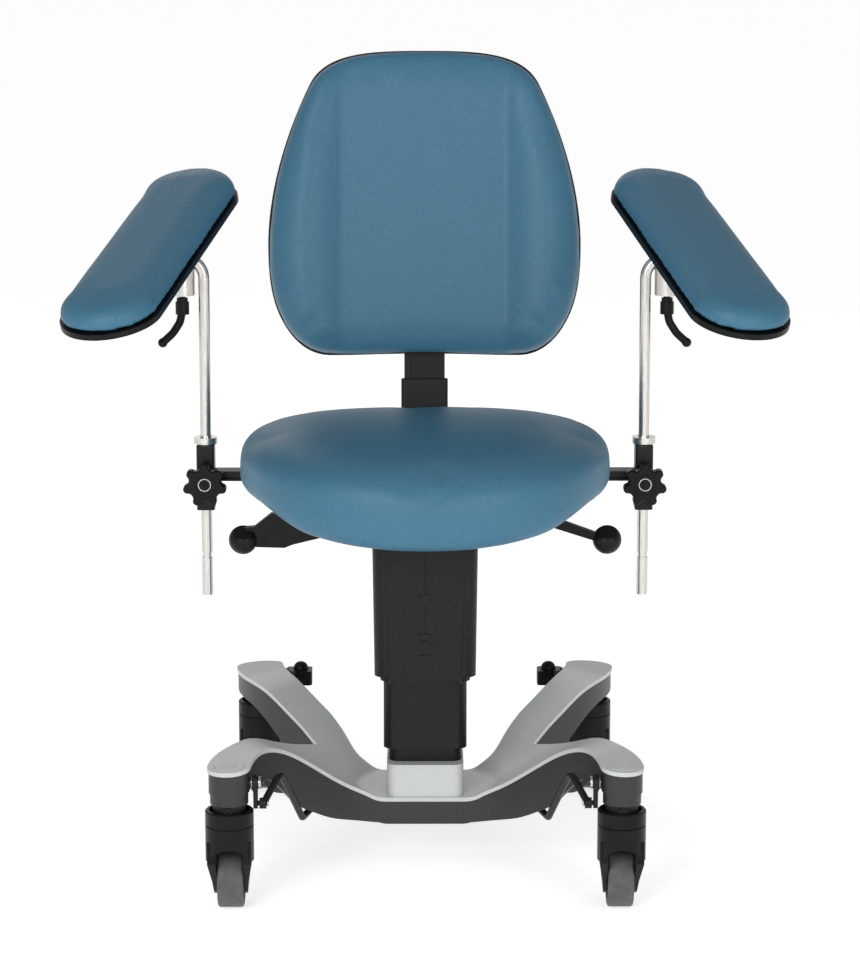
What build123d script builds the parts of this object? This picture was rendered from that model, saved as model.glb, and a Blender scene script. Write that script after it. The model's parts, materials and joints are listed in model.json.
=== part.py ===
from build123d import *

import os
from math import cos, radians, sin

# Height-adjustable treatment chair on four braked casters: millimetres, +Z up.
# The origin is on the floor under the column axis, the sitter looks along -Y, and +X is to the right of a
# person who faces the chair. Left pieces are at -X and right pieces at +X.

# --- driving dimensions -------------------------------------------------------------------------
RUN = 0.05                 # radial clearance of every running fit
GAP = 0.5                  # gap between pieces that move past each other

# base
FRONT_CASTER = (230, -245)
REAR_CASTER = (216, 245)
HUB_HALF = 50              # half width of the flat middle of the base
HUB_FRONT = -62
HUB_REAR = 60
NOTCH = (136, 50)          # where a front and a rear leg part
FRONT_CAP_R = 25.5
REAR_CAP_R = 30
COVER_T = 5
FRAME_INSET = 1.5
FRAME_WALL = 6
COLLAR_W = 94
COLLAR_FRONT, COLLAR_REAR = -60, 56
COLLAR_TOP = 127

# casters
WHEEL_R = 37.5
WHEEL_W = 31
TRAIL = 29
HOUSING_R = 28.5
HOUSING_TOP = 128
HOUSING_BOTTOM = 59
GROOVE_Z = 110
STEM_R = 22.5
STEM_LOW = 136
SPINDLE_R = 8
AXLE_R = 4

# column
FOOT_W, FOOT_D = 89, 86
MID_W, MID_D = 102, 96
MID_BOTTOM = 144
MID_TOP = 385
SHROUD_BOTTOM = 228
SHROUD_TOP = 412
SHROUD_LOW = (124, 117)
SHROUD_HIGH = (129, 122)
TUBE_WALL = 2.5

# seat mechanism
MECH_Z = 426
MECH_H = 23
RECEIVER_Y = 100
BAR_Z = 461                # flat arm bar
GUIDE_Z = 453              # thin guide bar under it
BAR_START = 40             # inner end of the arm bars
PAN_Z = 472
TILT_PIVOT = (-95, 468)    # y, z of the underside lugs of the seat tilt axis
RECLINE_PIVOT = (120, 437)  # y, z of the back recline axis
LEVER_Y = -60
LEVER_PIVOT_X = 95
LEVER_PIVOT_Z = 438
LEVER_BALL = (220, 410)    # x, z of the grip
LEVER_BALL_R = 17.5

# back
BACK_LEAN = 7.6
BACK_ORIGIN = (0, 234.7, 588)  # lower edge of the backrest, on the rear face of its shell
BACK_H = 388
BACK_WIDE = 400
BACK_TOP_W = 292
POST_LOW = -118            # lower end of the post, along the back
SLEEVE_LOW = -150

# arms
ARM_X = 274
ARM_Y = 104
ROD_R = 7
ROD_BOTTOM = 304
BLOCK_Z = (416, 497)
KNOB_Z = 451
BEND_R = 25
ROD_TOP = 731
REACH = 27                 # from the rod to the axis of the ball socket
SOCKET_R = 16
SOCKET_BOTTOM = 685
SOCKET_TOP = 745
BALL_Z = 738
PAD_CENTRE = (331, 30, 738)
PAD_YAW, PAD_PITCH, PAD_ROLL = 14.7, 16, 4
PAD_L, PAD_W = 450, 122
BOARD_T = 7
CUSHION_T = 30

# brake
BRAKE_Z = 160
CRANK_L = 25
BRAKE_ROD_R = 4.2

os.makedirs("parts", exist_ok=True)


# --- helpers ------------------------------------------------------------------------------------
def save(name, shape):
    """Write one named piece."""
    export_step(shape, os.path.join("parts", name + ".step"))


def group(*pieces):
    """Separate solids that share one node."""
    return Compound(children=[s for p in pieces for s in p.solids()])


def mirrored(shape):
    """The same piece for the other side of the chair."""
    return mirror(shape, about=Plane.YZ)


def cylinder(start, end, radius):
    """Round bar from one point to another."""
    a, b = Vector(*start), Vector(*end)
    return extrude(Plane(origin=a, z_dir=b - a) * Circle(radius), (b - a).length)


def block(low, high):
    """Box between two corners."""
    size = [h - l for l, h in zip(low, high)]
    return Pos(*low) * Box(*size, align=(Align.MIN, Align.MIN, Align.MIN))


def rounded_block(low, high, radius):
    """Box whose four upright edges are rounded."""
    centre = Pos((low[0] + high[0]) / 2, (low[1] + high[1]) / 2, low[2])
    return extrude(centre * RectangleRounded(high[0] - low[0], high[1] - low[1], radius), high[2] - low[2])


def pipe(points, radii, radius):
    """Round rod bent through the points."""
    path = FilletPolyline(*points, radius=radii)
    start = Plane(origin=path @ 0, z_dir=path % 0)
    return sweep(start * Circle(radius), path=path)


def turned(profile):
    """Solid of revolution about Z from (radius, z) points."""
    return revolve(make_face(Plane.XZ * Polyline(*profile, close=True)), Axis.Z)


# --- base ---------------------------------------------------------------------------------------
def base_outline(inset=0, rear_inset=None):
    """Plan of the base: a hub with four legs, one side drawn and mirrored.

    inset shrinks the outline evenly; rear_inset is used instead along the inner edges of the rear legs.
    """
    back = inset if rear_inset is None else rear_inset
    fx, fy = FRONT_CASTER
    rx, ry = REAR_CASTER
    front_r = FRONT_CAP_R - inset
    rear_r = REAR_CAP_R - inset
    front = HUB_FRONT + inset
    rear = HUB_REAR - back
    notch = (NOTCH[0] - 1.3 * inset, NOTCH[1])
    front_edge = Spline((HUB_HALF, front), (115 + 0.6 * inset, -92 + 0.8 * inset),
                        (172 + 0.87 * inset, -154 + 0.5 * inset), (fx - front_r, fy),
                        tangents=[(1, 0), (0.1, -1)])
    front_cap = ThreePointArc((fx - front_r, fy), (fx, fy - front_r), (fx + front_r, fy))
    front_outer = Spline((fx + front_r, fy), (229 - 0.9 * inset, -165 - 0.3 * inset),
                         (192 - 0.95 * inset, -60 - 0.3 * inset), notch, tangents=[(0, 1), (-0.8, 1)])
    rear_outer = Spline(notch, (202 - 0.7 * inset, 124 + 0.7 * inset), (rx + rear_r, ry),
                        tangents=[(0.8, 1), (0.05, 1)])
    rear_cap = ThreePointArc((rx + rear_r, ry), (rx, ry + rear_r), (rx - rear_r, ry))
    rear_edge = Spline((rx - rear_r, ry), (160 + 0.8 * back, 168 - 0.6 * back),
                       (102 + 0.8 * back, 102 - 0.6 * back), (HUB_HALF, rear),
                       tangents=[(-0.1, -1), (-1, 0)])
    half = [Line((0, front), (HUB_HALF, front)), front_edge, front_cap, front_outer, rear_outer,
            rear_cap, rear_edge, Line((HUB_HALF, rear), (0, rear))]
    other = [mirror(e, about=Plane.YZ) for e in half]
    return make_face(half + other)


# Height lines of the legs as (distance from the column axis, z). All four legs share the inner stretch.
MIDDLE_TOP = [(78, 86), (95, 93), (111, 102), (149, 125), (170, 139)]
MIDDLE_LOW = [(60, 52), (95, 56), (114, 60), (146, 69), (170, 80)]
FRONT_TOP = [(170, 139), (193, 154), (222, 170), (250, 180), (285, 184), (336, 180), (380, 178)]
FRONT_LOW = [(170, 80), (193, 92), (218, 113), (243, 135), (285, 151), (336, 149), (380, 149)]
REAR_TOP = [(170, 139), (193, 152), (240, 174), (275, 178), (327, 175), (380, 171)]
REAR_LOW = [(170, 80), (193, 96), (240, 132), (275, 145), (327, 145), (380, 145)]
TOP_SLOPE = (1, 0.66)      # of the legs where the shared stretch ends
LOW_SLOPE = (1, 0.5)


def bowl(middle, leg, slope, drop):
    """Everything under a height line that is turned about the column axis, lowered by drop."""
    shift = Pos(0, -drop)
    inner = shift * Spline(*middle, tangents=[(1, 0), slope])
    outer = shift * Spline(*leg, tangents=[slope, (1, 0)])
    start, end = inner @ 0, outer @ 1
    rest = Polyline((end.X, end.Y), (end.X, -20), (0, -20), (0, start.Y), (start.X, start.Y))
    return revolve(Plane.XZ * make_face([inner, outer, rest]), Axis.Z)


def layer(outline, top_drop, low_drop=None):
    """The legs inside an outline, between the top line and either a lowered top line or the lower line."""
    halves = []
    ends = ((FRONT_TOP, FRONT_LOW, -300, NOTCH[1]), (REAR_TOP, REAR_LOW, NOTCH[1], 300))
    for top, low, y_low, y_high in ends:
        plate = extrude(outline, 260) & block((-300, y_low, 0), (300, y_high, 260))
        if low_drop is None:
            floor = bowl(MIDDLE_LOW, low, LOW_SLOPE, 0)
        else:
            floor = bowl(MIDDLE_TOP, top, TOP_SLOPE, low_drop)
        halves.append((plate & bowl(MIDDLE_TOP, top, TOP_SLOPE, top_drop)) - floor)
    return halves[0] + halves[1]


def stem_places():
    """Plan positions of the four casters with the names of their corners."""
    fx, fy = FRONT_CASTER
    rx, ry = REAR_CASTER
    return {"front_left": (-fx, fy), "front_right": (fx, fy), "rear_left": (-rx, ry), "rear_right": (rx, ry)}


def leg_radius(y):
    """Radius of the round end of the leg that a caster at this y sits under."""
    return FRONT_CAP_R if y < 0 else REAR_CAP_R


def base_pieces():
    """Black cast frame with an open underside, and the light cover that lies on it."""
    outline = base_outline()
    inner = base_outline(FRAME_INSET, -FRAME_INSET)
    hollow = base_outline(FRAME_INSET + FRAME_WALL)
    ring = layer(inner - hollow, COVER_T)
    roof = layer(hollow, COVER_T, COVER_T + FRAME_WALL)
    hub = rounded_block((-60, -54, 50), (60, 54, 84 - COVER_T), 16)
    frame = ring + roof + hub
    for x, y in stem_places().values():
        frame = frame + cylinder((x, y, STEM_LOW), (x, y, 162), STEM_R)
        inward = -1 if x > 0 else 1
        edge = abs(x) - leg_radius(y)
        frame = frame + cylinder((-inward * (edge + 4), y, BRAKE_Z), (-inward * (edge - 16), y, BRAKE_Z), 4)
    foot_hole = rounded_block((-FOOT_W / 2, -FOOT_D / 2, 55), (FOOT_W / 2, FOOT_D / 2, 200), 12)
    save("base_frame", frame - foot_hole)
    collar = rounded_block((-COLLAR_W / 2, COLLAR_FRONT, 82), (COLLAR_W / 2, COLLAR_REAR, COLLAR_TOP), 12)
    cover = layer(outline, 0, COVER_T) + collar
    save("base_cover", cover - foot_hole)


def caster_ring():
    """Notched ring, set screw and spindle under one leg, which the caster turns on."""
    ring = turned([(0, 121.5), (17, 121.5), (19.5, 124), (19.5, STEM_LOW), (0, STEM_LOW)])
    for k in range(12):
        notch = Rot(0, 0, 30 * k + 15) * Pos(20, 0, 121) * Box(3, 3, 12)
        ring = ring - notch
    screw = cylinder((0, -17, 130), (0, -22.5, 130), 4.8) - cylinder((0, -21, 130), (0, -24, 130), 2.2)
    spindle = cylinder((0, 0, 96), (0, 0, 122), SPINDLE_R)
    return ring + screw + spindle


def caster_housing():
    """Round housing with two cheeks and the axle, drawn for a caster that trails to +Y."""
    groove = HOUSING_R - 1.2
    body = turned([(0, HOUSING_BOTTOM + 4), (HOUSING_R - 4, HOUSING_BOTTOM + 4),
                   (HOUSING_R, HOUSING_BOTTOM + 8), (HOUSING_R, GROOVE_Z - 0.8), (groove, GROOVE_Z - 0.4),
                   (groove, GROOVE_Z + 0.4), (HOUSING_R, GROOVE_Z + 0.8), (HOUSING_R, HOUSING_TOP - 1.5),
                   (HOUSING_R - 1.5, HOUSING_TOP), (24, HOUSING_TOP), (24, 121), (SPINDLE_R + RUN, 121),
                   (SPINDLE_R + RUN, 95), (0, 95)])
    arch = cylinder((0, -40, 60), (0, 40, 60), 25) & block((-21, -40, 20), (21, 40, 90))
    wheel_room = cylinder((-21, TRAIL, WHEEL_R), (21, TRAIL, WHEEL_R), WHEEL_R + 5)
    body = body - arch - wheel_room
    eye = Pos(TRAIL, WHEEL_R) * Circle(21)
    root = Pos(4, 78) * Rectangle(42, 26)
    side = make_hull((eye + root).edges())
    cheek = extrude(Plane.YZ * side, 27)
    taper = extrude(Plane.XZ * make_face(Polyline((16.2, 16), (19.5, 16), (21.5, 38), (26, 64), (26, 92),
                                                  (16.2, 92), close=True)), 60, both=True)
    cheek = (cheek & taper) - arch_core()
    both = cheek + mirrored(cheek)
    axle = cylinder((-20, TRAIL, WHEEL_R), (20, TRAIL, WHEEL_R), AXLE_R)
    return body + both + axle


def arch_core():
    """Space over the wheel between the cheeks."""
    return block((-16.2, -60, 0), (16.2, 90, 84))


def wheel_hub():
    """Plastic wheel centre with its axle bore along X."""
    half = WHEEL_W / 2 - 0.5
    profile = [(AXLE_R + RUN, -half), (11, -half), (13, -half + 4), (26, -half + 4), (29, -half + 1.5),
               (29, half - 1.5), (26, half - 4), (13, half - 4), (11, half), (AXLE_R + RUN, half)]
    hub = revolve(make_face(Plane.XZ * Polyline(*profile, close=True)), Axis.Z)
    return Rot(0, 90, 0) * hub


def tyre():
    """Soft grey tread with rounded shoulders."""
    half = WHEEL_W / 2
    shape = Plane.XZ * Pos((WHEEL_R + 29) / 2, 0) * RectangleRounded(WHEEL_R - 29, 2 * half, 3.8)
    return Rot(0, 90, 0) * revolve(shape, Axis.Z)


def caster_pieces():
    rings, housing, hub, tread = caster_ring(), caster_housing(), wheel_hub(), tyre()
    places = stem_places()
    save("caster_spindles", group(*[Pos(x, y, 0) * rings for x, y in places.values()]))
    for corner, (x, y) in places.items():
        save("caster_housing_" + corner, Pos(x, y, 0) * housing)
        save("wheel_hub_" + corner, Pos(x, y + TRAIL, WHEEL_R) * hub)
        save("tyre_" + corner, Pos(x, y + TRAIL, WHEEL_R) * tread)


# --- column -------------------------------------------------------------------------------------
def tube(width, depth, low, high, radius, wall=TUBE_WALL):
    """Upright box section tube."""
    outer = rounded_block((-width / 2, -depth / 2, low), (width / 2, depth / 2, high), radius)
    inner = rounded_block((-width / 2 + wall, -depth / 2 + wall, low - 1),
                          (width / 2 - wall, depth / 2 - wall, high + 1), radius - wall)
    return outer - inner


def shroud():
    """Tapered outer stage with a raised front panel, a centre slit and four plain buttons."""
    low = Pos(0, 0, SHROUD_BOTTOM + 9) * RectangleRounded(*SHROUD_LOW, 16)
    high = Pos(0, 0, SHROUD_TOP) * RectangleRounded(*SHROUD_HIGH, 16)
    body = loft([Sketch() + low, Sketch() + high])
    foot = rounded_block((-45, -SHROUD_LOW[1] / 2 - 0.5, SHROUD_BOTTOM),
                         (45, SHROUD_LOW[1] / 2, SHROUD_BOTTOM + 12), 10)
    skirt = rounded_block((-MID_W / 2 - 4, -MID_D / 2 - 4, SHROUD_BOTTOM + 2),
                          (MID_W / 2 + 4, MID_D / 2 + 4, SHROUD_BOTTOM + 12), 14)
    front = SHROUD_LOW[1] / 2
    shape = Polyline((-43, SHROUD_BOTTOM + 6), (43, SHROUD_BOTTOM + 6), (49, SHROUD_TOP), (-49, SHROUD_TOP),
                     close=True)
    panel = extrude(Plane.XZ.offset(front - 6) * make_face(shape), 9)
    body = body + foot + skirt + panel
    slit = block((-0.5, -front - 4, SHROUD_BOTTOM + 62), (0.5, -front - 1.5, SHROUD_TOP - 22))
    body = body - slit
    for z in (SHROUD_BOTTOM + 36, SHROUD_BOTTOM + 62):
        body = body + (Pos(0, -front - 2.5, z) * extrude(Plane.XZ * Ellipse(9, 2.6), 2.2))
    for z in (SHROUD_BOTTOM + 49, SHROUD_BOTTOM + 108):
        body = body + cylinder((0, -front - 2.5, z), (0, -front - 5, z), 6.5)
    cap = rounded_block((-20, -front - 6, SHROUD_TOP - 14), (20, -front - 1, SHROUD_TOP - 6), 2)
    body = body + cap
    room = rounded_block((-MID_W / 2 - GAP, -MID_D / 2 - GAP, SHROUD_BOTTOM - 5),
                         (MID_W / 2 + GAP, MID_D / 2 + GAP, SHROUD_TOP - 5), 14)
    return body - room


def column_pieces():
    foot = tube(FOOT_W - 0.4, FOOT_D - 0.4, 55.2, 300, 12)
    plate = rounded_block((-FOOT_W / 2 + 1, -FOOT_D / 2 + 1, 55.2), (FOOT_W / 2 - 1, FOOT_D / 2 - 1, 61), 10)
    save("column_foot", foot + plate)
    tube_wall = cylinder((0, 0, 61), (0, 0, 290), 17) - cylinder((0, 0, 66), (0, 0, 300), 10 + RUN)
    save("lift_tube", tube_wall)
    save("column_middle", tube(MID_W, MID_D, MID_BOTTOM, MID_TOP, 14))
    save("column_shroud", shroud())
    save("lift_rod", cylinder((0, 0, 100), (0, 0, SHROUD_TOP - 5), 10))
    plate = rounded_block((-62, -58, SHROUD_TOP), (62, 58, SHROUD_TOP + 7), 14)
    save("turntable_plate", plate + cylinder((0, 0, SHROUD_TOP + 7), (0, 0, MECH_Z + MECH_H - 3), 15))


# --- seat mechanism -----------------------------------------------------------------------------
def mechanism_pieces():
    z0, z1 = MECH_Z, MECH_Z + MECH_H
    ring = cylinder((0, 0, SHROUD_TOP + 7.4), (0, 0, z0), 42) - cylinder((0, 0, 400), (0, 0, z1), 16)
    save("swivel_bearing", ring)
    body = rounded_block((-85, -80, z0), (85, 96, z1), 8)
    ty, tz = TILT_PIVOT
    for x in (-68, 58):
        body = body + block((x, ty - 9, z0 + 4), (x + 10, -78, tz + 3))
    body = body + cylinder((-68, ty, tz - 6), (68, ty, tz - 6), 4)
    ry, rz = RECLINE_PIVOT
    for x in (-34, 23):
        body = body + block((x, 94, z0), (x + 11, ry + 10, z0 + 18))
    body = body + cylinder((-34, ry, rz), (34, ry, rz), 5)
    for side in (-1, 1):
        for y in (LEVER_Y - 15, LEVER_Y + 7):
            low, high = sorted((side * 84, side * 104))
            body = body + block((low, y, z0 + 2), (high, y + 8, z1 - 2))
        pivot = side * LEVER_PIVOT_X
        ends = [(pivot, y, LEVER_PIVOT_Z) for y in (LEVER_Y - 15, LEVER_Y + 15)]
        body = body + cylinder(*ends, 3.5)
    bore = cylinder((0, 0, 400), (0, 0, 500), 15 + RUN)
    save("seat_mechanism", body - bore)
    receiver = block((-150, RECEIVER_Y - 17, z1), (150, RECEIVER_Y + 17, z1 + 17))
    hollow = block((-151, RECEIVER_Y - 13.3, BAR_Z - 4.3), (151, RECEIVER_Y + 13.3, BAR_Z + 4.3))
    lower = cylinder((-151, RECEIVER_Y, GUIDE_Z), (151, RECEIVER_Y, GUIDE_Z), 3 + RUN)
    save("arm_receiver", receiver - hollow - lower)


def hand_lever(side):
    """Hand lever with a ball grip; the left one has a deeper blade with a second tongue under it."""
    bx, bz = LEVER_BALL
    px, pz = LEVER_PIVOT_X, LEVER_PIVOT_Z
    hub = cylinder((px, LEVER_Y - 6.5, pz), (px, LEVER_Y + 6.5, pz), 7.5)
    arm = [(px, pz + 3), (bx - 60, bz + 26), (bx - 8, bz + 7), (bx - 8, bz - 3), (bx - 64, bz + 15),
           (px, pz - 5)]
    if side < 0:
        arm = [(px, pz + 4), (bx - 34, bz + 33), (bx - 14, bz + 17), (bx - 2, bz + 16), (bx - 16, bz - 8),
               (bx - 50, bz - 9), (bx - 60, bz - 5), (px + 20, bz + 6), (px, pz - 5)]
    bar = Pos(0, LEVER_Y + 5.5, 0) * extrude(Plane.XZ * make_face(Polyline(*arm, close=True)), 11)
    ball = Pos(bx, LEVER_Y, bz) * Sphere(LEVER_BALL_R)
    flat = Pos(bx, LEVER_Y, bz) * Rot(35, 0, 0) * Pos(0, 0, 28) * Box(60, 60, 30)
    bore = cylinder((px, LEVER_Y - 30, pz), (px, LEVER_Y + 30, pz), 3.5 + RUN)
    whole = (hub + bar + (ball - flat)) - bore
    return whole if side > 0 else mirrored(whole)


# --- seat ---------------------------------------------------------------------------------------
def seat_outline(inset=0):
    """Plan of the cushion: a broad round front and a slightly narrower back."""
    k = 0.7 * inset
    half = [Spline((0, -222 + inset), (140 - k, -192 + k), (226 - inset, -20), (190 - k, 150 - k),
                   (0, 203 - inset), tangents=[(1, 0), (1, 0.6), (0.1, 1), (-0.7, 1), (-1, 0)])]
    return make_face(half + [mirror(e, about=Plane.YZ) for e in half])


def seat_pieces():
    ty, tz = TILT_PIVOT
    pan = rounded_block((-165, -150, PAN_Z), (165, 165, PAN_Z + 6), 60)
    hinge_tube = cylinder((-56, ty, tz - 6), (56, ty, tz - 6), 8)
    web = block((-56, ty - 6, tz), (56, ty + 6, PAN_Z + 1))
    pan = pan + hinge_tube + web - cylinder((-60, ty, tz - 6), (60, ty, tz - 6), 4 + RUN)
    save("seat_pan", pan)
    top = extrude(Pos(0, 0, PAN_Z + 6.5) * seat_outline(), 46)
    top = fillet(top.faces().sort_by(Axis.Z)[-1].edges(), 24)
    lobe = extrude(Pos(0, 0, 460) * seat_outline(6), 25) & block((-300, -300, 400), (300, 50, 500))
    nose = extrude(Pos(0, 0, 428) * seat_outline(16), 46) & block((-150, -300, 400), (150, -165, 500))
    room = block((-185, -165, 400), (185, 185, PAN_Z + 6.5))
    save("seat_cushion", (top + lobe + nose) - room)


# --- back ---------------------------------------------------------------------------------------
def back_plane():
    lean = radians(BACK_LEAN)
    return Plane(origin=BACK_ORIGIN, x_dir=(1, 0, 0), z_dir=(0, -cos(lean), sin(lean)))


def back_outline(inset=0):
    """Front view of the backrest, widest below its middle, with large corners."""
    k = 0.6 * inset
    half = [Spline((0, 2 + inset), (120, inset), (BACK_WIDE / 2 - 14 - k, 52 + k),
                   (BACK_WIDE / 2 - inset, 140), (BACK_TOP_W / 2 - k, BACK_H - 42 - k), (0, BACK_H - inset),
                   tangents=[(1, 0), (1, 0), (0.45, 1), (0, 1), (-0.5, 1), (-1, 0)])]
    return make_face(half + [mirror(e, about=Plane.YZ) for e in half])


def back_pieces():
    plane = back_plane()
    save("back_shell", extrude(plane * back_outline(), 8))
    pad = extrude(plane.offset(8.3) * back_outline(4), 30)
    crown = loft([plane.offset(38.3) * back_outline(4), plane.offset(52) * back_outline(20)])
    save("back_cushion", pad + crown)
    post = plane.location * (block((-26, POST_LOW, -12), (26, 200, 0)) - block((-18, -2, -14), (18, 190, -9)))
    post = post - plane.location * block((-18, POST_LOW - 1, -2.5), (18, -1, 2))
    save("back_post", post)
    sleeve = rounded_block((-30, -18, 0), (30, 6.5, 120), 5) - block((-26.3, -12.3, -1), (26.3, 0.3, 121))
    sleeve = chamfer(sleeve.edges().group_by(Axis.Z)[-1], 1)
    sleeve = (plane.location * Pos(0, SLEEVE_LOW, 0) * Rot(-90, 0, 0)) * Rot(0, 0, 180) * sleeve
    ry, rz = RECLINE_PIVOT
    arm = Polyline((ry, rz - 7), (ry + 100, rz - 7), (ry + 122, rz + 6), (ry + 122, rz + 40),
                   (ry + 80, rz + 40), (ry + 70, rz + 7), (ry, rz + 7), close=True)
    bar = extrude(Plane.YZ * make_face(arm), 22, both=True)
    hub = cylinder((-22, ry, rz), (22, ry, rz), 10)
    cut = plane.location * block((-26.3, SLEEVE_LOW - 20, -12.3), (26.3, -40, 0.3))
    arm_piece = (bar + hub + sleeve) - cut - cylinder((-30, ry, rz), (30, ry, rz), 5 + RUN)
    save("back_arm", arm_piece)


# --- arms ---------------------------------------------------------------------------------------
def star_knob():
    """Seven-lobed hand knob with a plain ring on its face, axis along -Y from the origin."""
    shape = Circle(20.5)
    for k in range(7):
        shape = shape + Rot(0, 0, k * 360 / 7 + 90) * Pos(22, 0) * Circle(5.4)
    shape = fillet(shape.vertices(), 5)
    head = chamfer(extrude(shape, 15).faces().sort_by(Axis.Z)[-1].edges(), 1.6)
    face = Pos(0, 0, 15) * extrude(Circle(13.5), 1.2) - Pos(0, 0, 15.4) * extrude(Circle(12.2), 1.2)
    dot = Pos(0, 0, 15) * extrude(Circle(4), 1)
    neck = Pos(0, 0, -4) * extrude(Circle(9), 4.5)
    screw = Pos(0, 0, -15) * extrude(Circle(4), 12)
    return Rot(90, 0, 0) * (head + face + dot + neck + screw)


def clamp_lever():
    """Indexing lever that hangs under the ball socket and clamps the ball."""
    hub = cylinder((0, 0, -3.5), (0, 0, -9), 7) + cylinder((0, 0, -8.5), (0, 0, -24), 8.5)
    handle = pipe([(0, 0, -18), (3, 0, -34), (12, 0, -48), (24, 0, -59)], [20, 30], 5)
    tip = Pos(25, 0, -60) * Sphere(6)
    screw = cylinder((0, 0, -4), (0, 0, 26), 4)
    return hub + handle + tip + screw


def pad_plane():
    """Underside of the right arm board: its x runs across the pad and its y along it, to the rear."""
    yaw, pitch, roll = radians(PAD_YAW), radians(PAD_PITCH), PAD_ROLL
    along = Vector(-sin(yaw) * cos(pitch), cos(yaw) * cos(pitch), sin(pitch))
    across = Vector(cos(yaw), sin(yaw), 0)
    flat = Plane(origin=PAD_CENTRE, x_dir=across, z_dir=across.cross(along))
    return flat.rotated((0, roll, 0))


def arm_pieces(name, side):
    """All pieces of one armrest, drawn on the right and mirrored for the left."""
    def put(node, shape):
        save(node + "_" + name, shape if side > 0 else mirrored(shape))

    x, y = ARM_X, ARM_Y
    low, high = BLOCK_Z
    bar = block((BAR_START, RECEIVER_Y - 13, BAR_Z - 4), (x - 11, RECEIVER_Y + 13, BAR_Z + 4))
    guide = cylinder((BAR_START, RECEIVER_Y, GUIDE_Z), (x - 11, RECEIVER_Y, GUIDE_Z), 3)
    put("slide_bars", group(bar, guide))
    body = block((x - 11, y - 20, low), (x + 11, y + 14, high))
    body = chamfer(body.edges().filter_by(Axis.Z), 2)
    body = body - cylinder((x, y, low - 1), (x, y, high + 1), 9 + RUN)
    body = body - cylinder((x, y - 21, KNOB_Z), (x, y, KNOB_Z), 4 + RUN)
    put("clamp_block", body)
    put("star_knob", Pos(x, y - 24.5, KNOB_Z) * star_knob())
    put("rod_bush", cylinder((x, y, low + 0.5), (x, y, high - 0.5), 9)
        - cylinder((x, y, low - 1), (x, y, high + 1), ROD_R + RUN))
    rod = pipe([(x, y, ROD_BOTTOM), (x, y, ROD_TOP), (x + REACH, y, ROD_TOP)], BEND_R, ROD_R)
    groove = cylinder((x, y, 352), (x, y, 359), 12) - cylinder((x, y, 350), (x, y, 360), ROD_R - 1)
    sx = x + REACH
    socket = cylinder((sx, y, SOCKET_BOTTOM), (sx, y, SOCKET_TOP), SOCKET_R)
    rod = rod - groove + socket
    rod = rod - cylinder((sx, y, SOCKET_BOTTOM + 28), (sx, y, 800), 12 + RUN)
    rod = rod - cylinder((sx, y, SOCKET_BOTTOM - 1), (sx, y, 800), 4 + RUN)
    put("arm_rod", rod)
    collar = cylinder((x, y, high + 1), (x, y, high + 9), 15)
    put("stop_collar", collar - cylinder((x, y, high), (x, y, high + 10), ROD_R + 0.02))
    cup = cylinder((sx, y, SOCKET_BOTTOM + 28.5), (sx, y, SOCKET_TOP - 2.5), 12)
    cup = cup - Pos(sx, y, BALL_Z) * Sphere(10 + RUN)
    put("ball_cup", cup)
    put("clamp_lever", Pos(sx, y, SOCKET_BOTTOM) * clamp_lever())

    plane = pad_plane()
    outline = SlotOverall(PAD_L, PAD_W, rotation=90)
    ball = Vector(sx, y, BALL_Z)
    reach = plane.to_local_coords(ball)
    foot = plane.from_local_coords(Vector(reach.X, reach.Y, 0))
    mount = Pos(sx, y, BALL_Z) * Sphere(10) + cylinder(tuple(ball), tuple(foot), 4.5)
    mount = mount + extrude(plane * (Pos(reach.X, reach.Y) * RectangleRounded(70, 90, 8)), -3)
    put("pad_mount", mount)
    board = extrude(plane * outline, BOARD_T)
    put("pad_board", board)
    cushion = extrude(plane.offset(BOARD_T + 0.3) * SlotOverall(PAD_L - 8, PAD_W - 8, rotation=90), CUSHION_T)
    top = cushion.faces().sort_by(lambda f: f.center().dot(plane.z_dir))[-1]
    put("pad_cushion", fillet(top.edges(), 24))


# --- brake --------------------------------------------------------------------------------------
def crank(corner):
    """Brake crank that turns on a pin in the inner side of a right-hand leg."""
    x, y = stem_places()[corner]
    face = x - leg_radius(y) + 4
    low = BRAKE_Z - CRANK_L
    disc = cylinder((face - 12, y, BRAKE_Z), (face - 6, y, BRAKE_Z), 10.5)
    nut = cylinder((face - 15, y, BRAKE_Z), (face - 12, y, BRAKE_Z), 7)
    arm = make_hull((Pos(y, BRAKE_Z) * Circle(10) + Pos(y, low) * Circle(6.5)).edges())
    arm = extrude(Plane.YZ.offset(face - 12) * arm, 5)
    pin = cylinder((face - 24, y, low), (face - 8, y, low), 3)
    whole = disc + nut + arm + pin
    if corner.startswith("rear"):
        pedal = rounded_block((face - 42, y + 2, BRAKE_Z - 14), (face - 9, y + 30, BRAKE_Z + 5), 5)
        button = Pos(face - 27, y + 18, BRAKE_Z + 5) * Sphere(10)
        whole = whole + pedal + (button & block((0, y - 20, BRAKE_Z + 4), (400, y + 60, 300)))
    return whole - cylinder((face - 20, y, BRAKE_Z), (face, y, BRAKE_Z), 4 + RUN)


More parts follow.
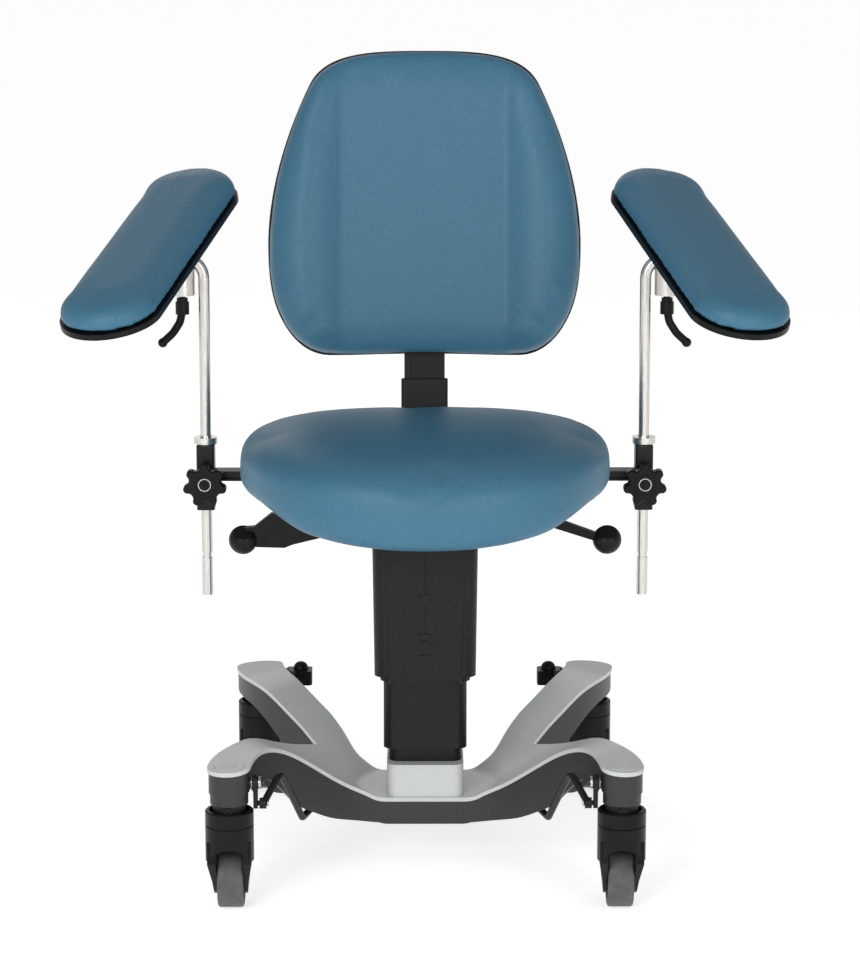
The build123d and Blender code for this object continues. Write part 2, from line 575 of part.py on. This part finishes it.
def brake_pieces(name, side):
    """Both cranks and the bent rod that joins them, for one side."""
    def put(node, shape):
        save(node + "_" + name, shape if side > 0 else mirrored(shape))

    put("front_crank", crank("front_right"))
    put("rear_pedal", crank("rear_right"))
    low = BRAKE_Z - CRANK_L
    fx, fy = FRONT_CASTER
    rx, ry = REAR_CASTER
    start = (fx - FRONT_CAP_R - 14, fy, low)
    end = (rx - REAR_CAP_R - 14, ry, low)
    eye_front = cylinder((start[0] - 4, fy, low), (start[0] + 4, fy, low), 6.5)
    eye_rear = cylinder((end[0] - 4, ry, low), (end[0] + 4, ry, low), 6.5)
    route = [(start[0] - 2, fy + 2, low + 2), (171, -212, 163), (149, -121, 79), (143, -98, 79),
             (116, 10, 80), (116, 75, 82), (152, 150, 99), (end[0] - 1, ry - 3, low - 1)]
    rod = pipe(route, [14, 10, 20, 50, 40, 40], BRAKE_ROD_R)
    whole = rod + eye_front + eye_rear
    whole = whole - cylinder((start[0] - 9, fy, low), (start[0] + 9, fy, low), 3 + RUN)
    whole = whole - cylinder((end[0] - 9, ry, low), (end[0] + 9, ry, low), 3.6)
    put("brake_rod", whole)


base_pieces()
caster_pieces()
column_pieces()
mechanism_pieces()
save("lever_right", hand_lever(1))
save("lever_left", hand_lever(-1))
seat_pieces()
back_pieces()
for name, side in (("left", -1), ("right", 1)):
    arm_pieces(name, side)
    brake_pieces(name, side)
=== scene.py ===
"""Looks of the swivel treatment chair: metres, +Z up, the sitter looks along -Y.

Blue vinyl cushions, a light gloss cover over a black base, and black and stainless metalwork.
"""

import json
import math

import bmesh
import bpy
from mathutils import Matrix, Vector
from mathutils.bvhtree import BVHTree

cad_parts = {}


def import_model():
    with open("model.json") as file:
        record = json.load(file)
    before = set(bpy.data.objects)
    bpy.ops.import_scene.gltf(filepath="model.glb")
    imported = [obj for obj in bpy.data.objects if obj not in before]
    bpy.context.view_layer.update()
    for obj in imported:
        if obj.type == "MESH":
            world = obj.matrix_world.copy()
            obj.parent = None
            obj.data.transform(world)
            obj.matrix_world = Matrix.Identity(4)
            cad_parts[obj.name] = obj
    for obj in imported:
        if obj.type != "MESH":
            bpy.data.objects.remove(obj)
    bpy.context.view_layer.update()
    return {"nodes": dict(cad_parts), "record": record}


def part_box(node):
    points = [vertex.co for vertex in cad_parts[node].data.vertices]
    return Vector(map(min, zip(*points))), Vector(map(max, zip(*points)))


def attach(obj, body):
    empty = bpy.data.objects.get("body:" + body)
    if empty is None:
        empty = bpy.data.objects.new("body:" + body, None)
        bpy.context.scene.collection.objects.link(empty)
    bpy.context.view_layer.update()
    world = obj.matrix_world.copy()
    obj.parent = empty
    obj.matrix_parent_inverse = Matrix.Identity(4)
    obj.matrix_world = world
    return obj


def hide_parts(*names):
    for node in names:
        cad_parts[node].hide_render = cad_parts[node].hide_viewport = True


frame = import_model()
nodes = frame["nodes"]
SIDES = {"left": -1, "right": 1}

# --- dimensions ---------------------------------------------------------------------------------
BACK_LEAN = math.radians(7.6)
BACK_FOOT = Vector((0, 0.2347, 0.588))   # lower edge of the backrest on the rear face of its shell
BACK_FRONT = Vector((0, -math.cos(BACK_LEAN), math.sin(BACK_LEAN)))  # the way the backrest faces
PANEL_HALF = 0.104                       # half width of the flat middle panel of the backrest
RIDGE_AT = 0.158                         # where the side bolsters are highest
PANEL_SINK = 0.45                        # share of the foam's thickness that the middle panel lacks
SHELL_DEPTH = 0.014                      # front of the shell's rim
SEAT_RIM = 0.4785                        # underside of the seat foam where it rests on the pan
SEAT_GAP = 0.0005                        # gap between the foam and the pan
SEAT_CROWN = 0.012                       # how far the crown stands above the CAD solid
SEAT_AROUND = 144                        # slices round the seat
SEAT_UPPER, SEAT_LOWER = 22, 12          # points of a slice above and below its widest one
WIDEST_AT = 0.42                         # height of the widest point, as a share of the foam's thickness
SIDE_DEPTH = 0.019                       # how far the side edges hang below the pan
NOSE_DEPTH, NOSE_RISE = 0.038, 0.020     # how much deeper the nose hangs, and what its ends lack of that
LIP, NOSE_LIP = 0.024, 0.018             # how far the lower edge turns in, and how much more at the nose
SIM_FRAMES = 20                          # length of each cloth simulation
HOUSING_RADIUS = 0.0285                  # of a caster, which stands under its end cap
CAP_MARKS = ((0.0175, -0.0165, 0.006), (0.0085, -0.0095, 0.006))  # half width, front, back of each line
PIVOT_Z = 0.160                          # height of the brake pivots


# --- materials ----------------------------------------------------------------------------------
def principled(name, colour, roughness, metallic=0.0, coat=0.0):
    """A new material and its shader."""
    mat = bpy.data.materials.new(name)
    mat.use_nodes = True
    shader = mat.node_tree.nodes["Principled BSDF"]
    shader.inputs["Base Color"].default_value = (*colour, 1)
    shader.inputs["Roughness"].default_value = roughness
    shader.inputs["Metallic"].default_value = metallic
    shader.inputs["Coat Weight"].default_value = coat
    return mat, shader


def add(mat, kind, **sockets):
    """A node of that kind with its sockets set."""
    node = mat.node_tree.nodes.new(kind)
    for name, value in sockets.items():
        node.inputs[name.replace("_", " ")].default_value = value
    return node


def coordinates(mat, stretch=(1, 1, 1)):
    """Object coordinates, stretched."""
    place = add(mat, "ShaderNodeTexCoord")
    mapping = add(mat, "ShaderNodeMapping", Scale=stretch)
    mat.node_tree.links.new(place.outputs["Object"], mapping.inputs["Vector"])
    return mapping.outputs["Vector"]


def grain(mat, shader, scale, depth, strength, stretch=(1, 1, 1), cells=False):
    """Fine relief over the whole surface."""
    links = mat.node_tree.links
    if cells:
        texture = add(mat, "ShaderNodeTexVoronoi", Scale=scale)
        height = texture.outputs["Distance"]
    else:
        texture = add(mat, "ShaderNodeTexNoise", Scale=scale, Detail=3.0)
        height = texture.outputs["Fac"]
    links.new(coordinates(mat, stretch), texture.inputs["Vector"])
    bump = add(mat, "ShaderNodeBump", Strength=strength, Distance=depth)
    links.new(height, bump.inputs["Height"])
    links.new(bump.outputs["Normal"], shader.inputs["Normal"])


def mottle(mat, shader, low, high, scale, stretch=(1, 1, 1), detail=4.0):
    """Base colour that drifts between two shades."""
    links = mat.node_tree.links
    texture = add(mat, "ShaderNodeTexNoise", Scale=scale, Detail=detail)
    links.new(coordinates(mat, stretch), texture.inputs["Vector"])
    ramp = add(mat, "ShaderNodeValToRGB")
    ramp.color_ramp.elements[0].position = 0.3
    ramp.color_ramp.elements[0].color = (*low, 1)
    ramp.color_ramp.elements[1].position = 0.7
    ramp.color_ramp.elements[1].color = (*high, 1)
    links.new(texture.outputs["Fac"], ramp.inputs["Fac"])
    links.new(ramp.outputs["Color"], shader.inputs["Base Color"])


def vinyl():
    """Satin blue upholstery with a fine pebbled grain."""
    mat, shader = principled("blue_vinyl_grained", (0.04, 0.125, 0.2), 0.45)
    shader.inputs["Specular IOR Level"].default_value = 0.3
    mottle(mat, shader, (0.036, 0.128, 0.205), (0.05, 0.158, 0.243), 420)
    grain(mat, shader, 900, 0.0003, 0.35, cells=True)
    return mat


def cover_gloss():
    """Light grey moulded cover."""
    mat, shader = principled("light_grey_gloss", (0.42, 0.45, 0.45), 0.38, coat=0.12)
    mottle(mat, shader, (0.47, 0.495, 0.485), (0.54, 0.565, 0.555), 700)
    grain(mat, shader, 600, 0.0001, 0.08)
    return mat


def black_metal():
    """Black powder coat."""
    mat, shader = principled("black_powder_coat", (0.02, 0.02, 0.02), 0.42)
    mottle(mat, shader, (0.004, 0.004, 0.004), (0.012, 0.012, 0.012), 500)
    shader.inputs["Specular IOR Level"].default_value = 0.22
    grain(mat, shader, 800, 0.0003, 0.3)
    return mat


def cast_black():
    """Satin black paint on the cast base."""
    mat, shader = principled("satin_black_casting", (0.02, 0.02, 0.02), 0.45)
    mottle(mat, shader, (0.013, 0.013, 0.013), (0.022, 0.022, 0.022), 500)
    grain(mat, shader, 800, 0.0002, 0.2)
    return mat


def black_plastic():
    """Black moulded plastic."""
    mat, shader = principled("black_moulded_plastic", (0.02, 0.02, 0.021), 0.36)
    mottle(mat, shader, (0.003, 0.003, 0.0035), (0.007, 0.007, 0.0075), 60)
    shader.inputs["Specular IOR Level"].default_value = 0.17
    grain(mat, shader, 1100, 0.0002, 0.18)
    return mat


def stainless():
    """Stainless tube, brushed along its length."""
    mat, shader = principled("stainless_tube", (0.62, 0.6, 0.57), 0.26, metallic=1.0)
    mottle(mat, shader, (0.5, 0.48, 0.45), (0.74, 0.72, 0.69), 60, stretch=(40, 40, 1))
    grain(mat, shader, 120, 0.0001, 0.15, stretch=(30, 30, 1))
    return mat


def zinc():
    """Bright zinc plating."""
    mat, shader = principled("bright_zinc", (0.55, 0.55, 0.54), 0.3, metallic=1.0)
    mottle(mat, shader, (0.45, 0.45, 0.45), (0.62, 0.62, 0.6), 90)
    return mat


def nylon():
    """Plain black nylon."""
    mat, shader = principled("black_nylon", (0.03, 0.03, 0.032), 0.45)
    mottle(mat, shader, (0.025, 0.025, 0.027), (0.04, 0.04, 0.042), 120)
    return mat


def tyre_rubber():
    """Grey non-marking tread."""
    mat, shader = principled("grey_tread", (0.11, 0.11, 0.105), 0.6)
    mottle(mat, shader, (0.06, 0.06, 0.058), (0.092, 0.092, 0.088), 90)
    grain(mat, shader, 500, 0.0002, 0.25)
    return mat


def white_print():
    """Off-white printing ink."""
    mat, shader = principled("white_print", (0.7, 0.72, 0.72), 0.4)
    mottle(mat, shader, (0.62, 0.64, 0.64), (0.75, 0.77, 0.77), 300)
    return mat


LOOKS = {
    "blue_vinyl": vinyl(),
    "cover_gloss": cover_gloss(),
    "black_metal": black_metal(),
    "cast_black": cast_black(),
    "black_plastic": black_plastic(),
    "stainless": stainless(),
    "steel": zinc(),
    "nylon": nylon(),
    "tyre_grey": tyre_rubber(),
    "white": white_print(),
}


def paint_frame():
    """Gives every CAD node the look of its material slot; the cast base frame has its own black."""
    for part in frame["record"]["subparts"]:
        obj = nodes[part["node"]]
        look = LOOKS["cast_black" if part["node"] == "base_frame" else part["material_slot"]]
        for slot in obj.material_slots:
            slot.material = look


def finish_piece(obj, look, body):
    """Material, smooth shading and CAD body of a new piece."""
    obj.data.materials.clear()
    obj.data.materials.append(LOOKS[look])
    if obj.type == "MESH":
        obj.data.polygons.foreach_set("use_smooth", [True] * len(obj.data.polygons))
    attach(obj, body)


# --- cushions -----------------------------------------------------------------------------------
def smoothstep(t):
    """0 up to t = 0, 1 from t = 1, and a soft step between."""
    t = min(max(t, 0.0), 1.0)
    return t * t * (3 - 2 * t)


def node_tree(node):
    """Search tree of a CAD node's surface."""
    mesh = nodes[node].data
    return BVHTree.FromPolygons([v.co for v in mesh.vertices], [tuple(p.vertices) for p in mesh.polygons])


def mesh_object(name, mesh):
    """A new object in the scene."""
    obj = bpy.data.objects.new(name, mesh)
    bpy.context.scene.collection.objects.link(obj)
    return obj


def remeshed(node, name, voxel, rounds):
    """A copy of a CAD node as one even skin, evened out a few times."""
    obj = mesh_object(name, nodes[node].data.copy())
    remesh = obj.modifiers.new("skin", "REMESH")
    remesh.mode = "VOXEL"
    remesh.voxel_size = voxel
    bake(obj)
    even_out(obj, rounds)
    return obj


def bake(obj):
    """Applies all modifiers of a piece."""
    depsgraph = bpy.context.evaluated_depsgraph_get()
    mesh = bpy.data.meshes.new_from_object(obj.evaluated_get(depsgraph))
    obj.modifiers.clear()
    obj.data = mesh


def swell(obj, cap, held):
    """Cloth under slight air pressure: no point moves further than cap, and held points stay put."""
    start = [v.co.copy() for v in obj.data.vertices]
    group = obj.vertex_groups.new(name="held")
    group.add([i for i, p in enumerate(start) if held(p)], 1.0, "REPLACE")
    cloth = obj.modifiers.new("swell", "CLOTH")
    cloth.settings.vertex_group_mass = "held"
    cloth.settings.use_pressure = True
    cloth.settings.uniform_pressure_force = 4
    cloth.settings.effector_weights.gravity = 0
    cloth.settings.tension_stiffness = 25
    cloth.settings.bending_stiffness = 2
    cloth.point_cache.frame_end = SIM_FRAMES
    for step in range(1, SIM_FRAMES + 1):
        bpy.context.scene.frame_set(step)
    swollen = obj.evaluated_get(bpy.context.evaluated_depsgraph_get()).to_mesh()
    after = [v.co.copy() for v in swollen.vertices]
    obj.modifiers.remove(cloth)
    bpy.context.scene.frame_set(1)
    for vertex, a, b in zip(obj.data.vertices, start, after):
        move = b - a
        if move.length > cap:
            move *= cap / move.length
        vertex.co = a + move


def even_out(obj, rounds):
    """Smooths the small wrinkles out of a skin."""
    smooth = obj.modifiers.new("even", "SMOOTH")
    smooth.factor = 0.5
    smooth.iterations = rounds
    bake(obj)


def widen(obj, axis, amount):
    """Pushes the sides of a skin outward, square to the axis."""
    normals = [v.normal.copy() for v in obj.data.vertices]
    for vertex, normal in zip(obj.data.vertices, normals):
        vertex.co += (normal - axis * normal.dot(axis)) * amount


def subdivide(obj):
    """One level of smooth subdivision."""
    extra = obj.modifiers.new("finer", "SUBSURF")
    extra.levels = extra.render_levels = 1


def outline_radius(tree, angle, height):
    """Distance from the Z axis to the side of a CAD solid."""
    ray = Vector((math.cos(angle), math.sin(angle), 0))
    hit = tree.ray_cast(ray + Vector((0, 0, height)), -ray)[0]
    return Vector((hit.x, hit.y)).length


def seat_profile(radius, x, y, top):
    """Radius and height of the points of one slice of the seat, from its crown round to its underside."""
    nose = max(NOSE_DEPTH - NOSE_RISE * (x / 0.2) ** 2, 0) * smoothstep((-y - 0.07) / 0.11)
    rim = SEAT_RIM - SIDE_DEPTH * smoothstep((0.09 - y) / 0.11) - nose
    middle = rim + WIDEST_AT * (top - rim)
    lip = LIP + NOSE_LIP * smoothstep((-y - 0.05) / 0.13)
    profile = []
    for i in range(1, SEAT_UPPER + 1):
        turn = math.pi / 2 * (1 - i / SEAT_UPPER)
        profile.append((radius * math.cos(turn) ** 0.58, middle + (top - middle) * math.sin(turn) ** 0.6))
    for i in range(1, SEAT_LOWER + 1):
        turn = math.pi / 2 * i / SEAT_LOWER
        reach = radius - lip + lip * math.cos(turn) ** 0.7
        profile.append((reach, middle - (middle - rim) * math.sin(turn) ** 0.7))
    profile.append((radius - lip - 0.008, (rim + SEAT_RIM) / 2))
    profile.append((radius - lip - 0.012, SEAT_RIM + SEAT_GAP))
    return profile


def loft(name, slices, top, bottom):
    """One closed skin through slices of points, between a crown point and a foot point on the Z axis."""
    skin = bmesh.new()
    rings = [[skin.verts.new(point) for point in slice_points] for slice_points in slices]
    crown = skin.verts.new((0, 0, top))
    foot = skin.verts.new((0, 0, bottom))
    for a, b in zip(rings, rings[1:] + rings[:1]):
        skin.faces.new((crown, a[0], b[0]))
        for i in range(len(a) - 1):
            skin.faces.new((a[i], a[i + 1], b[i + 1], b[i]))
        skin.faces.new((a[-1], foot, b[-1]))
    bmesh.ops.recalc_face_normals(skin, faces=skin.faces)
    mesh = bpy.data.meshes.new(name + "_skin")
    skin.to_mesh(mesh)
    skin.free()
    return mesh_object(name + "_soft", mesh)


def seat_cushion():
    """Round crowned cushion with a deep nose at the front, lofted over the outline of its CAD solid."""
    tree = node_tree("seat_cushion")
    low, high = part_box("seat_cushion")
    top = high.z + SEAT_CROWN
    slices = []
    for k in range(SEAT_AROUND):
        angle = 2 * math.pi * k / SEAT_AROUND
        across, along = math.cos(angle), math.sin(angle)
        round_radius = 1 / math.hypot(across / high.x, along / (high.y if along > 0 else low.y))
        radius = (outline_radius(tree, angle, SEAT_RIM + 0.012) + round_radius) / 2
        profile = seat_profile(radius, radius * across, radius * along, top)
        slices.append([(r * across, r * along, z) for r, z in profile])
    obj = loft("seat_cushion", slices, top, SEAT_RIM + SEAT_GAP)
    swell(obj, 0.004, lambda p: p.z < SEAT_RIM + 0.001 and math.hypot(p.x, p.y) < 0.16)
    widen(obj, Vector((0, 0, 1)), 0.0025)
    subdivide(obj)
    finish_piece(obj, "blue_vinyl", "seat")
    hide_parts("seat_cushion")


def back_cushion():
    """Backrest cushion with a flat middle panel between two side bolsters."""
    obj = remeshed("back_cushion", "back_cushion_soft", 0.005, 14)
    swell(obj, 0.004, lambda p: (p - BACK_FOOT).dot(BACK_FRONT) < 0.016)
    even_out(obj, 12)
    widen(obj, BACK_FRONT, 0.0034)
    for vertex in obj.data.vertices:
        place = vertex.co - BACK_FOOT
        depth = place.dot(BACK_FRONT)
        rise = min(max((abs(place.x) - PANEL_HALF) / (RIDGE_AT - PANEL_HALF), 0), 1)
        flat = 1 - math.sin(math.pi / 2 * rise)
        vertex.co -= BACK_FRONT * PANEL_SINK * flat * max(depth - SHELL_DEPTH, 0)
    subdivide(obj)
    finish_piece(obj, "blue_vinyl", "backrest")
    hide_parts("back_cushion")


def board_normal(node):
    """Direction square to the largest faces of a flat CAD piece."""
    return max(nodes[node].data.polygons, key=lambda face: face.area).normal.copy()


def pad_cushions():
    """Arm cushions on their boards."""
    for name in SIDES:
        node = "pad_cushion_" + name
        obj = remeshed(node, node + "_soft", 0.004, 8)
        tree = node_tree("pad_board_" + name)
        swell(obj, 0.003, lambda p: tree.find_nearest(p)[3] < 0.007)
        even_out(obj, 10)
        widen(obj, board_normal("pad_board_" + name), 0.0028)
        subdivide(obj)
        finish_piece(obj, "blue_vinyl", "arm_pad_" + name)
        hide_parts(node)


# --- small details ------------------------------------------------------------------------------
def line(name, points, radius, look, body, closed=False):
    """A thin round line through the points."""
    data = bpy.data.curves.new(name, "CURVE")
    data.dimensions = "3D"
    data.bevel_depth = radius
    data.bevel_resolution = 2
    data.resolution_u = 6
    spline = data.splines.new("NURBS")
    spline.points.add(len(points) - 1)
    for knot, point in zip(spline.points, points):
        knot.co = (*point, 1)
    spline.order_u = 3
    spline.use_cyclic_u = closed
    spline.use_endpoint_u = not closed
    obj = bpy.data.objects.new(name, data)
    bpy.context.scene.collection.objects.link(obj)
    finish_piece(obj, look, body)
    return obj


def cap_marks():
    """Two nested raised lines on the end cap of each front leg."""
    tree = node_tree("base_cover")
    for name in SIDES:
        low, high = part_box("caster_housing_front_" + name)
        centre_x, centre_y = (low.x + high.x) / 2, low.y + HOUSING_RADIUS
        for k, (wide, front, back) in enumerate(CAP_MARKS):
            flat = [(-wide, back), (-wide, front + 0.008), (-wide + 0.006, front), (wide - 0.006, front),
                    (wide, front + 0.008), (wide, back)]
            points = []
            for dx, dy in flat:
                x, y = centre_x + dx, centre_y + dy
                top = tree.ray_cast(Vector((x, y, 1)), Vector((0, 0, -1)))[0]
                points.append((x, y, top.z))
            line("cap_mark_%s_%d" % (name, k + 1), points, 0.0008, "cover_gloss", "base")


def ring_points(centre, radius, count=12):
    """Points of a circle in the XZ plane."""
    turns = [2 * math.pi * k / count for k in range(count)]
    return [(centre[0] + radius * math.cos(t), centre[1], centre[2] + radius * math.sin(t)) for t in turns]


def knob_rings():
    """Plain white printed ring on the face of each star knob."""
    for name in SIDES:
        low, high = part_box("star_knob_" + name)
        centre = ((low.x + high.x) / 2, low.y + 0.0004, (low.z + high.z) / 2)
        line("knob_ring_" + name, ring_points(centre, 0.0078), 0.0006, "white", "star_knob_" + name,
             closed=True)


def zinc_disc(name, centre, radius, length, body):
    """Short bright disc with its axis along X."""
    bpy.ops.mesh.primitive_cylinder_add(vertices=40, radius=radius, depth=length, location=centre,
                                        rotation=(0, math.pi / 2, 0))
    obj = bpy.context.object
    obj.name = name
    bevel = obj.modifiers.new("edge", "BEVEL")
    bevel.width = 0.0006
    bevel.segments = 2
    finish_piece(obj, "steel", body)
    for polygon in obj.data.polygons:
        polygon.use_smooth = len(polygon.vertices) == 4


def crank_bolts():
    """Bright washer, nut and pin end on each front brake crank."""
    for name, side in SIDES.items():
        low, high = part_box("front_crank_" + name)
        leg_side = high.x if side > 0 else low.x
        y = (low.y + high.y) / 2
        body = "front_crank_" + name
        zinc_disc("crank_washer_" + name, (leg_side + side * 0.001, y, PIVOT_Z), 0.0085, 0.0016, body)
        zinc_disc("crank_nut_" + name, (leg_side - side * 0.0083, y, PIVOT_Z), 0.0072, 0.0035, body)
        inner = low.x if side > 0 else high.x
        zinc_disc("link_pin_" + name, (inner, y, low.z + 0.0065), 0.0036, 0.002, body)


# --- surroundings -------------------------------------------------------------------------------
def floor():
    """Pale studio floor with a faint glow, so that it stays near white."""
    bpy.ops.mesh.primitive_plane_add(size=60, location=(0, 0, 0))
    obj = bpy.context.object
    obj.name = "studio_floor"
    mat, shader = principled("pale_floor", (0.86, 0.86, 0.86), 0.95)
    shader.inputs["Emission Color"].default_value = (1, 1, 1, 1)
    shader.inputs["Emission Strength"].default_value = 0.6
    obj.data.materials.append(mat)


def area_light(name, place, target, size, power):
    """A square soft box that faces the target."""
    data = bpy.data.lights.new(name, "AREA")
    data.size = size
    data.energy = power
    obj = bpy.data.objects.new(name, data)
    obj.location = place
    obj.rotation_mode = "QUATERNION"
    obj.rotation_quaternion = (Vector(target) - Vector(place)).to_track_quat("-Z", "Y")
    bpy.context.scene.collection.objects.link(obj)


def world():
    """A room that is slightly darker overhead than near the horizon."""
    made = bpy.data.worlds.new("studio")
    made.use_nodes = True
    tree = made.node_tree
    place = tree.nodes.new("ShaderNodeTexCoord")
    split = tree.nodes.new("ShaderNodeSeparateXYZ")
    ramp = tree.nodes.new("ShaderNodeValToRGB")
    ramp.color_ramp.elements[0].position = 0.16
    ramp.color_ramp.elements[0].color = (0.5, 0.5, 0.5, 1)
    ramp.color_ramp.elements[1].position = 0.42
    ramp.color_ramp.elements[1].color = (0.42, 0.42, 0.42, 1)
    tree.links.new(place.outputs["Generated"], split.inputs["Vector"])
    tree.links.new(split.outputs["Z"], ramp.inputs["Fac"])
    tree.links.new(ramp.outputs["Color"], tree.nodes["Background"].inputs["Color"])
    bpy.context.scene.world = made


def lights():
    """Two soft boxes in front and a weak one behind."""
    area_light("key", (-1.5, -3.8, 1.9), (0, 0, 0.55), 1.6, 72)
    area_light("fill", (1.9, -3.6, 1.4), (0, 0, 0.5), 1.6, 38)
    area_light("rear", (-0.4, 3.6, 2.0), (0, 0, 0.6), 2.0, 10)
    bpy.context.scene.view_settings.view_transform = "Standard"


def camera():
    """Long lens in front of the chair, a little above its backrest."""
    data = bpy.data.cameras.new("camera")
    data.lens = 125.4
    data.sensor_width = 36
    obj = bpy.data.objects.new("camera", data)
    pitch, yaw = math.radians(11.4), math.radians(0.23)
    obj.location = (-0.01, -4.01, 1.28)
    ahead = Vector((math.sin(yaw) * math.cos(pitch), math.cos(yaw) * math.cos(pitch), -math.sin(pitch)))
    obj.rotation_mode = "QUATERNION"
    obj.rotation_quaternion = ahead.to_track_quat("-Z", "Y")
    bpy.context.scene.collection.objects.link(obj)
    bpy.context.scene.camera = obj


paint_frame()
seat_cushion()
back_cushion()
pad_cushions()
cap_marks()
knob_rings()
crank_bolts()
floor()
world()
lights()
camera()
